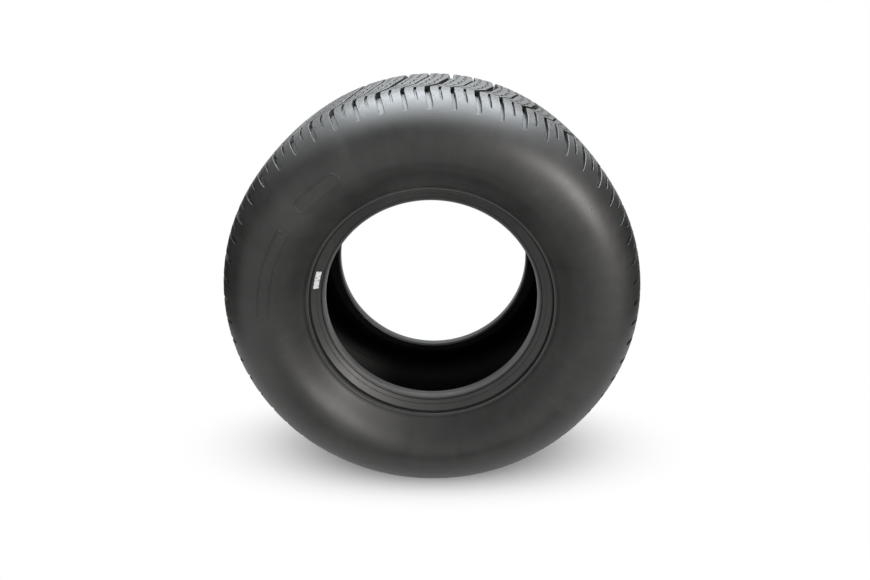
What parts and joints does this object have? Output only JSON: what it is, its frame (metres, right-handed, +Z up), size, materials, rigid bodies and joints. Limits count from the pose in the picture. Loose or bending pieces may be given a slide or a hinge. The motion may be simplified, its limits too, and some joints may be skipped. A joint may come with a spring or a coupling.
{
  "type": "lawn mower tyre",
  "caption": "Wide turf tyre for a ride-on lawn mower, off its rim: round-shouldered tread with diagonal grooves and shoulder notches, smooth sidewalls and open beads.",
  "frame": {"origin": "centre of the tyre, on the wheel axis midway between the beads", "axes": "+Y along the wheel axis, away from the labelled side; +Z up as the tyre stands on its tread; +X to the right seen from the labelled side"},
  "size_m": [0.75, 0.38, 0.748],
  "materials": {
    "tyre_rubber": "moulded rubber, satin, a little dusty",
    "label_paper": "plain white paper"
  },
  "bodies": {
    "root": {"tyre": "tyre_rubber", "bead_label": "label_paper"}
  },
  "joints": []
}
